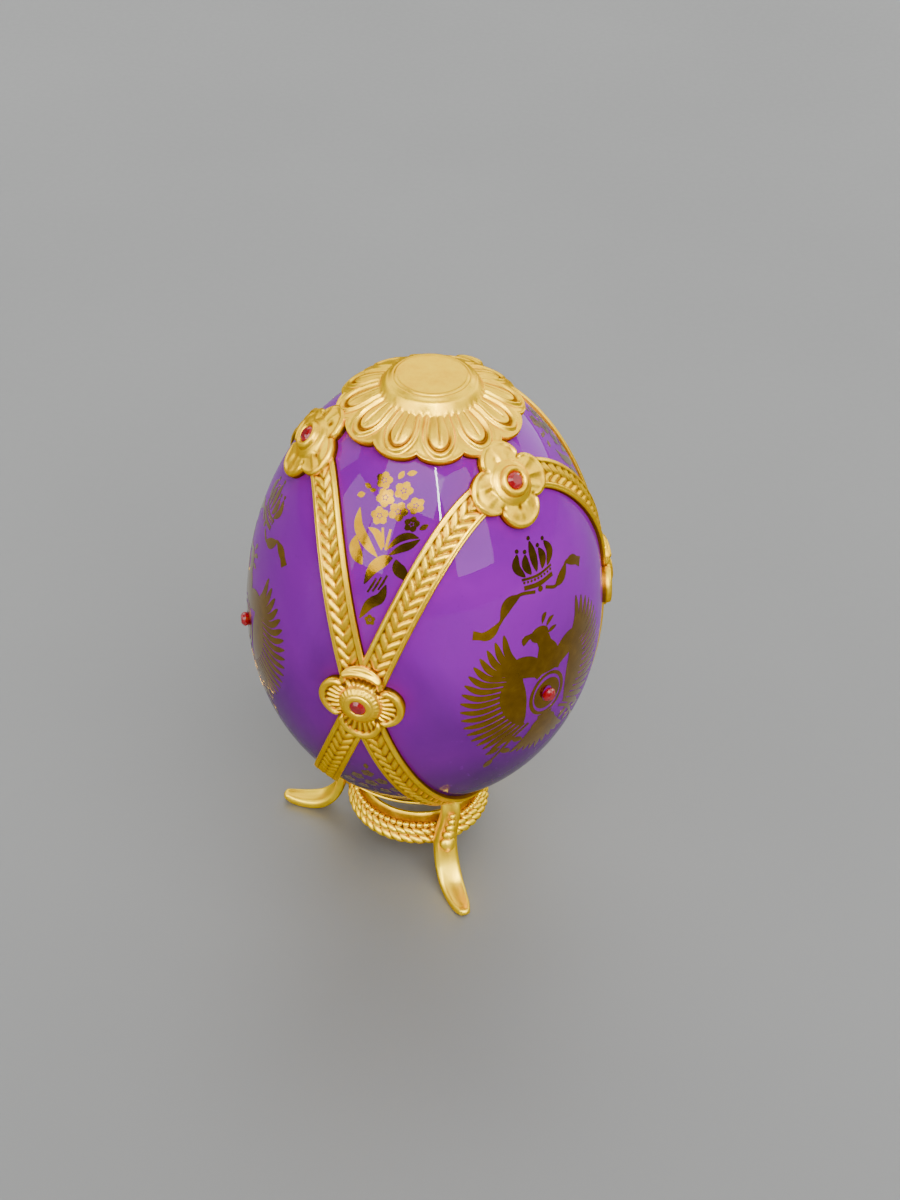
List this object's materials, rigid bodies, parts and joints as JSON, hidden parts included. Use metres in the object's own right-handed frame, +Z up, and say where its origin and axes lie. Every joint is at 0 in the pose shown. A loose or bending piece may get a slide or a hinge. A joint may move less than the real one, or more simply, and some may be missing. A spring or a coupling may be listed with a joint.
{
  "type": "decorated egg on a stand",
  "caption": "Hollow glazed porcelain egg with a gilded lattice, cap, rosettes and red glass stones, resting loose on a gilded three-legged ring stand.",
  "frame": {"origin": "on the ground, on the vertical axis that the egg and its stand share", "axes": "+Z up along the egg's axis; -Y faces the viewer; the lattice repeats every 120 degrees about +Z"},
  "size_m": [0.0523, 0.0516, 0.0822],
  "materials": {
    "glaze": "gloss",
    "gilt": "satin",
    "stand_gilt": "satin",
    "red_glass": "gloss"
  },
  "bodies": {
    "stand": {"bead_wire": "stand_gilt", "leg_1": "stand_gilt", "leg_2": "stand_gilt", "leg_3": "stand_gilt", "lower_rope": "stand_gilt", "stand_ring": "stand_gilt", "upper_rope": "stand_gilt"},
    "egg": {"base_rim": "gilt", "egg_shell": "glaze", "lower_band_1_left": "gilt", "lower_band_1_right": "gilt", "lower_band_2_left": "gilt", "lower_band_2_right": "gilt", "lower_band_3_left": "gilt", "lower_band_3_right": "gilt", "lower_rosette_1": "gilt", "lower_rosette_2": "gilt", "lower_rosette_3": "gilt", "lower_stone_1": "red_glass", "lower_stone_2": "red_glass", "lower_stone_3": "red_glass", "medallion_stone_1": "red_glass", "medallion_stone_2": "red_glass", "medallion_stone_3": "red_glass", "top_cap": "gilt", "upper_band_1_left": "gilt", "upper_band_1_right": "gilt", "upper_band_2_left": "gilt", "upper_band_2_right": "gilt", "upper_band_3_left": "gilt", "upper_band_3_right": "gilt", "upper_rosette_1": "gilt", "upper_rosette_2": "gilt", "upper_rosette_3": "gilt", "upper_stone_1": "red_glass", "upper_stone_2": "red_glass", "upper_stone_3": "red_glass"}
  },
  "joints": [
    {"name": "egg_lift", "type": "slide", "parent": "stand", "child": "egg", "axis": [0, 0, 1], "range_m": [0, 0.05]}
  ]
}
